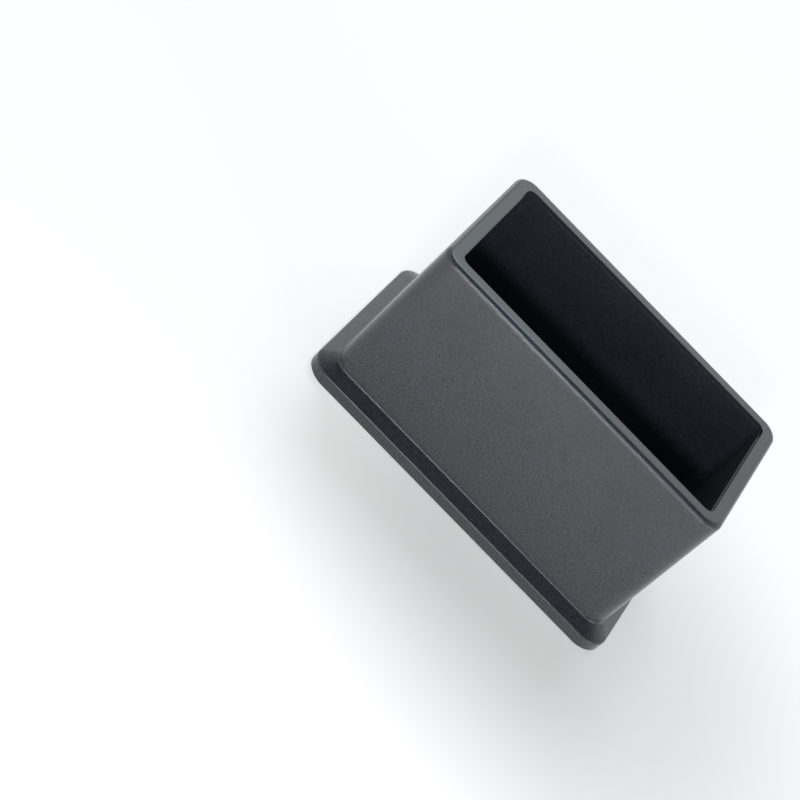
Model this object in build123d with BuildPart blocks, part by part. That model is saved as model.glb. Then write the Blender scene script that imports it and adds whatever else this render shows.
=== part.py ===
from build123d import *
import os

# End cap that slips over the end of a rectangular tube and serves as its foot.
# It is one moulding in soft black plastic: a flange with a sloped back, and a skirt
# of four drafted walls round the socket that takes the tube. The socket has the shape
# of the core that the mould leaves in it.
#
# Frame: the origin is the middle of the flange's outside face, on which the cap stands.
# +X runs along the long side, +Y along the short side, +Z from the foot to the mouth.
# All lengths are in millimetres.

# ---------------------------------------------------------------- driving dimensions

# The tube that the cap fits, measured outside.
TUBE_LENGTH = 45.0
TUBE_WIDTH = 25.0
TUBE_CORNER_RADIUS = 1.3

# The socket. Its walls stand inside the tube's faces by the grip, so the cap has to
# stretch a little, and a shallow step at the mouth takes the tube at its own size.
SOCKET_DEPTH = 23.4
SOCKET_GRIP = 0.15
SOCKET_DRAFT = 0.15
STEP_DEPTH = 0.65
SOCKET_FLOOR_FILLET = 1.0

# The skirt: wall thickness at the rim, how far each outer face leans out on its way
# down to the flange, its corners, the rim's rounded outer edge and the fillet at the
# skirt's foot.
RIM_WALL = 2.1
SKIRT_DRAFT = 0.1
SKIRT_CORNER_RADIUS = 2.6
RIM_ROUND = 0.8
SKIRT_FOOT_FILLET = 0.3

# The floor between the socket and the foot face.
FLOOR_THICKNESS = 3.0

# The flange: how far it stands out from the skirt, the height of its side, and the
# rise of its sloped back from that side to the skirt.
FLANGE_OVERHANG = 2.0
FLANGE_SIDE_HEIGHT = 1.8
FLANGE_BACK_RISE = 1.15
FLANGE_CORNER_RADIUS = 3.4
FLANGE_EDGE_ROUND = 0.3
FOOT_EDGE_CHAMFER = 0.25

# ---------------------------------------------------------------- derived sizes

cap_height = FLOOR_THICKNESS + SOCKET_DEPTH
step_bottom = cap_height - STEP_DEPTH
back_top = FLANGE_SIDE_HEIGHT + FLANGE_BACK_RISE

socket_length = TUBE_LENGTH - 2 * SOCKET_GRIP
socket_width = TUBE_WIDTH - 2 * SOCKET_GRIP
floor_length = socket_length - 2 * SOCKET_DRAFT
floor_width = socket_width - 2 * SOCKET_DRAFT

rim_length = TUBE_LENGTH + 2 * RIM_WALL
rim_width = TUBE_WIDTH + 2 * RIM_WALL

base_length = rim_length + 2 * SKIRT_DRAFT
base_width = rim_width + 2 * SKIRT_DRAFT

flange_length = base_length + 2 * FLANGE_OVERHANG
flange_width = base_width + 2 * FLANGE_OVERHANG

# The floor's fillet runs round the socket's corners, so it stays within their radius.
LARGEST_CORNER_SHARE = 0.9
floor_fillet = min(SOCKET_FLOOR_FILLET, LARGEST_CORNER_SHARE * TUBE_CORNER_RADIUS)

os.makedirs("parts", exist_ok=True)

# ---------------------------------------------------------------- the mould's core

# The core fills the socket: a drafted block with a rounded foot, and the step on top.
with BuildPart() as core:
    with BuildSketch(Plane.XY.offset(FLOOR_THICKNESS)):
        RectangleRounded(floor_length, floor_width, TUBE_CORNER_RADIUS)
    with BuildSketch(Plane.XY.offset(step_bottom)):
        RectangleRounded(socket_length, socket_width, TUBE_CORNER_RADIUS)
    loft()
    fillet(core.faces().sort_by(Axis.Z)[0].edges(), radius=floor_fillet)

    with BuildSketch(Plane.XY.offset(step_bottom)):
        RectangleRounded(TUBE_LENGTH, TUBE_WIDTH, TUBE_CORNER_RADIUS)
    extrude(amount=STEP_DEPTH)

# ---------------------------------------------------------------- the cap

with BuildPart() as end_cap:
    # The flange's flat slab, with the height of its side.
    with BuildSketch(Plane.XY):
        RectangleRounded(flange_length, flange_width, FLANGE_CORNER_RADIUS)
    extrude(amount=FLANGE_SIDE_HEIGHT)

    # The sloped back, from the slab's edge up to the foot of the skirt.
    with BuildSketch(Plane.XY.offset(FLANGE_SIDE_HEIGHT)):
        RectangleRounded(flange_length, flange_width, FLANGE_CORNER_RADIUS)
    with BuildSketch(Plane.XY.offset(back_top)):
        RectangleRounded(base_length, base_width, SKIRT_CORNER_RADIUS)
    loft()

    # The skirt's outside, narrowing from the flange to the rim.
    with BuildSketch(Plane.XY.offset(back_top)):
        RectangleRounded(base_length, base_width, SKIRT_CORNER_RADIUS)
    with BuildSketch(Plane.XY.offset(cap_height)):
        RectangleRounded(rim_length, rim_width, SKIRT_CORNER_RADIUS)
    loft()

    # The edges: the rim and the flange's back are rounded, the skirt's foot runs into the
    # back with a small fillet, and the foot face has its edge taken off.
    fillet(end_cap.faces().sort_by(Axis.Z)[-1].edges(), radius=RIM_ROUND)
    skirt_foot = end_cap.edges().filter_by_position(Axis.Z, back_top, back_top)
    fillet(skirt_foot, radius=SKIRT_FOOT_FILLET)
    back_edge = end_cap.edges().filter_by_position(Axis.Z, FLANGE_SIDE_HEIGHT, FLANGE_SIDE_HEIGHT)
    fillet(back_edge, radius=FLANGE_EDGE_ROUND)
    chamfer(end_cap.faces().sort_by(Axis.Z)[0].edges(), length=FOOT_EDGE_CHAMFER)

    # The socket.
    add(core.part, mode=Mode.SUBTRACT)

end_cap.part.label = "end_cap"
export_step(end_cap.part, "parts/end_cap.step")
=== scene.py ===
import math

import bpy
from mathutils import Matrix, Vector

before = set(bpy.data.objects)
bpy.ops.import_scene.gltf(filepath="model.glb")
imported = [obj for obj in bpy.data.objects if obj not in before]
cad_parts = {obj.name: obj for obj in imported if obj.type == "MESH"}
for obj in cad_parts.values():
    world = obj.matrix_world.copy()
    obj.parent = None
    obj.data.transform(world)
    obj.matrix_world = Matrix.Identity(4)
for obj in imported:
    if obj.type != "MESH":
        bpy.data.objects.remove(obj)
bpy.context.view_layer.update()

# The looks of a moulded end cap for a rectangular tube. Everything is in metres, in the
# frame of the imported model: the cap stands on its flange on z = 0, with its mouth up.
# Azimuths turn about +Z from the -Y side, and elevations count from the horizon, both in
# degrees.

MM = 0.001


def towards(azimuth, elevation):
    """The unit vector from the cap to a place at that azimuth and elevation."""
    a, e = math.radians(azimuth), math.radians(elevation)
    return Vector((math.sin(a) * math.cos(e), -math.cos(a) * math.cos(e), math.sin(e)))


def facing(place, back):
    """The matrix of a camera or lamp at a place, with its back along a direction."""
    return Matrix.Translation(place) @ back.to_track_quat("Z", "Y").to_matrix().to_4x4()


# ---------------------------------------------------------------- the camera

CAMERA_AZIMUTH = -2.26
CAMERA_ELEVATION = 34.91
CAMERA_ROLL = 46.96
CAMERA_DISTANCE = 0.3206
CAMERA_AIM = Vector((-0.01457, -0.00778, 0.00124))
LENS_IN_MM = 108.8
SENSOR_IN_MM = 36.0
CLIP_START = 0.01
CLIP_END = 100.0


def add_camera():
    data = bpy.data.cameras.new("camera")
    data.lens = LENS_IN_MM
    data.sensor_width = SENSOR_IN_MM
    data.clip_start = CLIP_START
    data.clip_end = CLIP_END
    camera = bpy.data.objects.new("camera", data)
    bpy.context.scene.collection.objects.link(camera)
    back = towards(CAMERA_AZIMUTH, CAMERA_ELEVATION)
    roll = Matrix.Rotation(math.radians(CAMERA_ROLL), 4, "Z")
    camera.matrix_world = facing(CAMERA_AIM + back * CAMERA_DISTANCE, back) @ roll
    bpy.context.scene.camera = camera


# ---------------------------------------------------------------- the lamps

# The softboxes: azimuth, elevation, distance, size, power in watts and colour. "front"
# and "right" are low, so that they light the walls more than the flange's back.
PLAIN = (1.0, 0.99, 0.975)
COOL = (0.74, 0.91, 1.0)
SOFTBOXES = {
    "front": (0.0, 4.0, 0.70, 0.30, 0.55, PLAIN),
    "right": (60.0, 6.0, 0.70, 0.30, 1.00, PLAIN),
    "back": (-168.0, 55.0, 0.70, 0.30, 1.30, COOL),
    "back_low": (180.0, 25.0, 0.70, 0.30, 0.11, COOL),
    "left_low": (-149.0, 6.0, 0.70, 0.12, 0.12, COOL),
    "front_small": (0.0, 27.0, 0.45, 0.035, 0.42, COOL),
}

# A lamp overhead that lights the floor in front of the cap, whose bounce fills the walls.
SPOT_PLACE = Vector((-0.02, -0.25, 0.50))
SPOT_SIZE = 0.10
SPOT_SPREAD = 40.0
SPOT_POWER = 0.70


def add_lamp(name, place, back, size, power, colour):
    data = bpy.data.lights.new(name, "AREA")
    data.shape = "SQUARE"
    data.size = size
    data.energy = power
    data.color = colour
    lamp = bpy.data.objects.new(name, data)
    bpy.context.scene.collection.objects.link(lamp)
    lamp.matrix_world = facing(place, back)
    return data


def add_lamps():
    for name, (azimuth, elevation, distance, size, power, colour) in SOFTBOXES.items():
        back = towards(azimuth, elevation)
        add_lamp(name, back * distance, back, size, power, colour)
    up = Vector((0, 0, 1))
    spot = add_lamp("table_spot", SPOT_PLACE, up, SPOT_SIZE, SPOT_POWER, PLAIN)
    spot.spread = math.radians(SPOT_SPREAD)


# ---------------------------------------------------------------- pieces of shaders


def ramp(tree, value, start, end, low, high, smooth=False):
    """A socket that goes from low to high as the value goes from start to end."""
    node = tree.nodes.new("ShaderNodeMapRange")
    if smooth:
        node.interpolation_type = "SMOOTHSTEP"
    node.inputs["From Min"].default_value = start
    node.inputs["From Max"].default_value = end
    node.inputs["To Min"].default_value = low
    node.inputs["To Max"].default_value = high
    tree.links.new(value, node.inputs["Value"])
    return node.outputs["Result"]


def maths(tree, operation, first, second):
    """The result of a Math node on two sockets."""
    node = tree.nodes.new("ShaderNodeMath")
    node.operation = operation
    tree.links.new(first, node.inputs[0])
    tree.links.new(second, node.inputs[1])
    return node.outputs[0]


def height_of(tree, place):
    """The Z of a vector socket."""
    node = tree.nodes.new("ShaderNodeSeparateXYZ")
    tree.links.new(place, node.inputs["Vector"])
    return node.outputs["Z"]


def distance_from(tree, place, centre):
    """How far a vector socket is from a fixed point."""
    node = tree.nodes.new("ShaderNodeVectorMath")
    node.operation = "DISTANCE"
    node.inputs[1].default_value = centre
    tree.links.new(place, node.inputs[0])
    return node.outputs["Value"]


def noise(tree, place, scale, detail):
    """A noise texture's value, from 0 to 1."""
    node = tree.nodes.new("ShaderNodeTexNoise")
    node.inputs["Scale"].default_value = scale
    node.inputs["Detail"].default_value = detail
    tree.links.new(place, node.inputs["Vector"])
    return node.outputs["Fac"]


def kinds_of_ray(tree):
    """Two sockets of 1 or 0: one for camera rays, and one for glossy and transmission
    rays."""
    path = tree.nodes.new("ShaderNodeLightPath")
    glossy, through = path.outputs["Is Glossy Ray"], path.outputs["Is Transmission Ray"]
    return path.outputs["Is Camera Ray"], maths(tree, "MAXIMUM", glossy, through)


# ---------------------------------------------------------------- the studio

# The studio is white up to WALL_TOP, a height on the unit sphere, and grey from CEILING
# up. As light on the cap, all of it is turned down to AMBIENT.
WALL_TOP = 0.60
CEILING = 0.92
CEILING_TONE = 0.12
AMBIENT = 0.11


def add_world():
    """A pale studio with a dim ceiling.

    Whatever looks straight at it, or sees it mirrored, gets that picture at full strength,
    and as light on the cap it is turned down.
    """
    world = bpy.data.worlds.new("studio")
    bpy.context.scene.world = world
    world.use_nodes = True
    tree = world.node_tree
    tree.nodes.clear()
    place = tree.nodes.new("ShaderNodeTexCoord").outputs["Generated"]
    tone = ramp(tree, height_of(tree, place), WALL_TOP, CEILING, 1.0, CEILING_TONE, True)
    seen = maths(tree, "MAXIMUM", *kinds_of_ray(tree))

    studio = tree.nodes.new("ShaderNodeBackground")
    output = tree.nodes.new("ShaderNodeOutputWorld")
    tree.links.new(tone, studio.inputs["Color"])
    tree.links.new(ramp(tree, seen, 0.0, 1.0, AMBIENT, 1.0), studio.inputs["Strength"])
    tree.links.new(studio.outputs[0], output.inputs["Surface"])


# ---------------------------------------------------------------- the floor

# The floor is a hair under the cap's foot, so that the two faces never share a plane.
FLOOR_SIZE = 12.0
FLOOR_DROP = 0.02 * MM
FLOOR_COLOUR = (0.89, 0.85, 0.82, 1.0)

# The paper looks brighter than it is lit, but its glow is turned down around a place in
# front of the cap, a painted shadow where the cap's shadow falls: the middle of that
# place, and two steps in the glow with the distance from it. Each one has its start, its
# end and the factor at both. The first one is the painted shadow. The second one brightens
# the paper far away, so that its edge doesn't show against the studio.
PAINTED_SHADOW_CENTRE = Vector((0.018, -0.015, 0.0))
GLOW_STEPS = [(0.015, 0.062, 0.42, 0.68), (0.15, 0.90, 1.0, 1.45)]

# What the cap mirrors is the same paper with this glow wherever it lies, which makes the
# flange's low side paler.
MIRRORED_GLOW = 0.85


def floor_material():
    """White sweep paper, which keeps the cap's shadow and looks brighter than it is lit,
    with
    a painted shadow: its glow is dimmer in front of the cap.

    Its glow is there for the camera and for mirrored rays, and isn't light on the cap.
    """
    material = bpy.data.materials.new("sweep")
    material.use_nodes = True
    tree = material.node_tree
    tree.nodes.clear()
    paper = tree.nodes.new("ShaderNodeBsdfDiffuse")
    paper.inputs["Color"].default_value = FLOOR_COLOUR

    place = tree.nodes.new("ShaderNodeTexCoord").outputs["Object"]
    distance = distance_from(tree, place, PAINTED_SHADOW_CENTRE)
    strength, mirrored = kinds_of_ray(tree)
    # The first step is a painted shadow: it turns the glow down near the centre, in front
    # of the cap.
    for near, far, low, high in GLOW_STEPS:
        step = ramp(tree, distance, near, far, low, high, True)
        strength = maths(tree, "MULTIPLY", strength, step)
    in_mirror = ramp(tree, mirrored, 0.0, 1.0, 0.0, MIRRORED_GLOW)
    strength = maths(tree, "ADD", strength, in_mirror)

    glow = tree.nodes.new("ShaderNodeEmission")
    both = tree.nodes.new("ShaderNodeAddShader")
    output = tree.nodes.new("ShaderNodeOutputMaterial")
    tree.links.new(strength, glow.inputs["Strength"])
    tree.links.new(paper.outputs[0], both.inputs[0])
    tree.links.new(glow.outputs[0], both.inputs[1])
    tree.links.new(both.outputs[0], output.inputs["Surface"])
    return material


def add_floor():
    half = FLOOR_SIZE / 2
    mesh = bpy.data.meshes.new("floor")
    corners = [(-half, -half, 0), (half, -half, 0), (half, half, 0), (-half, half, 0)]
    mesh.from_pydata(corners, [], [(0, 1, 2, 3)])
    mesh.materials.append(floor_material())
    floor = bpy.data.objects.new("floor", mesh)
    floor.location.z = -FLOOR_DROP
    bpy.context.scene.collection.objects.link(floor)


# ---------------------------------------------------------------- the moulded plastic

CHARCOAL = (0.0165, 0.018, 0.021, 1.0)
CHARCOAL_PALE = (0.079, 0.086, 0.102, 1.0)

# Faint clouds, and the part of the noise that becomes them.
CLOUDS_PER_METRE = 70.0
CLOUD_DETAIL = 5.0
CLOUD_RANGE = (0.2, 0.8)

# Fine specks. They are stronger near the flange than near the rim: two heights, and the
# share of the colour's pattern that they have at each. The clouds have the rest.
SPECKS_PER_METRE = 3600.0
SPECK_DETAIL = 3.0
SPECK_RANGE = (0.3, 0.7)
SPECK_HEIGHTS = (6.0 * MM, 22.0 * MM)
SPECK_SHARES = (0.95, 0.50)

# The sheen: the roughness where the clouds are darkest and where they are palest, and the
# strength of the reflections.
CLOUD_ROUGHNESS = (0.32, 0.28)
REFLECTIONS = 0.6

# The mould's grain.
GRAIN_PER_METRE = 3000.0
GRAIN_DETAIL = 2.0
GRAIN_DEPTH = 0.015 * MM


def plastic_material():
    """Soft black plastic: faint clouds and fine specks in the colour, a satin sheen that
    varies a little with the clouds, and the fine grain of an etched mould."""
    material = bpy.data.materials.new("soft_black_plastic")
    material.use_nodes = True
    tree = material.node_tree
    shader = tree.nodes["Principled BSDF"]
    place = tree.nodes.new("ShaderNodeTexCoord").outputs["Object"]

    clouds = noise(tree, place, CLOUDS_PER_METRE, CLOUD_DETAIL)
    clouds = ramp(tree, clouds, *CLOUD_RANGE, 0.0, 1.0)
    specks = noise(tree, place, SPECKS_PER_METRE, SPECK_DETAIL)
    specks = ramp(tree, specks, *SPECK_RANGE, 0.0, 1.0)
    share = ramp(tree, height_of(tree, place), *SPECK_HEIGHTS, *SPECK_SHARES)
    pattern = tree.nodes.new("ShaderNodeMix")
    tree.links.new(share, pattern.inputs["Factor"])
    tree.links.new(clouds, pattern.inputs["A"])
    tree.links.new(specks, pattern.inputs["B"])

    colour = tree.nodes.new("ShaderNodeMix")
    colour.data_type = "RGBA"
    colour.inputs["A"].default_value = CHARCOAL
    colour.inputs["B"].default_value = CHARCOAL_PALE
    tree.links.new(pattern.outputs["Result"], colour.inputs["Factor"])
    tree.links.new(colour.outputs["Result"], shader.inputs["Base Color"])

    roughness = ramp(tree, clouds, 0.0, 1.0, *CLOUD_ROUGHNESS)
    tree.links.new(roughness, shader.inputs["Roughness"])
    shader.inputs["Specular IOR Level"].default_value = REFLECTIONS

    bump = tree.nodes.new("ShaderNodeBump")
    bump.inputs["Strength"].default_value = 1.0
    bump.inputs["Distance"].default_value = GRAIN_DEPTH
    grain = noise(tree, place, GRAIN_PER_METRE, GRAIN_DETAIL)
    tree.links.new(grain, bump.inputs["Height"])
    tree.links.new(bump.outputs["Normal"], shader.inputs["Normal"])
    return material


def dress_cap():
    material = plastic_material()
    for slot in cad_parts["end_cap"].material_slots:
        slot.material = material


# ---------------------------------------------------------------- the scene

bpy.context.scene.view_settings.view_transform = "Standard"
add_camera()
add_world()
add_lamps()
add_floor()
dress_cap()
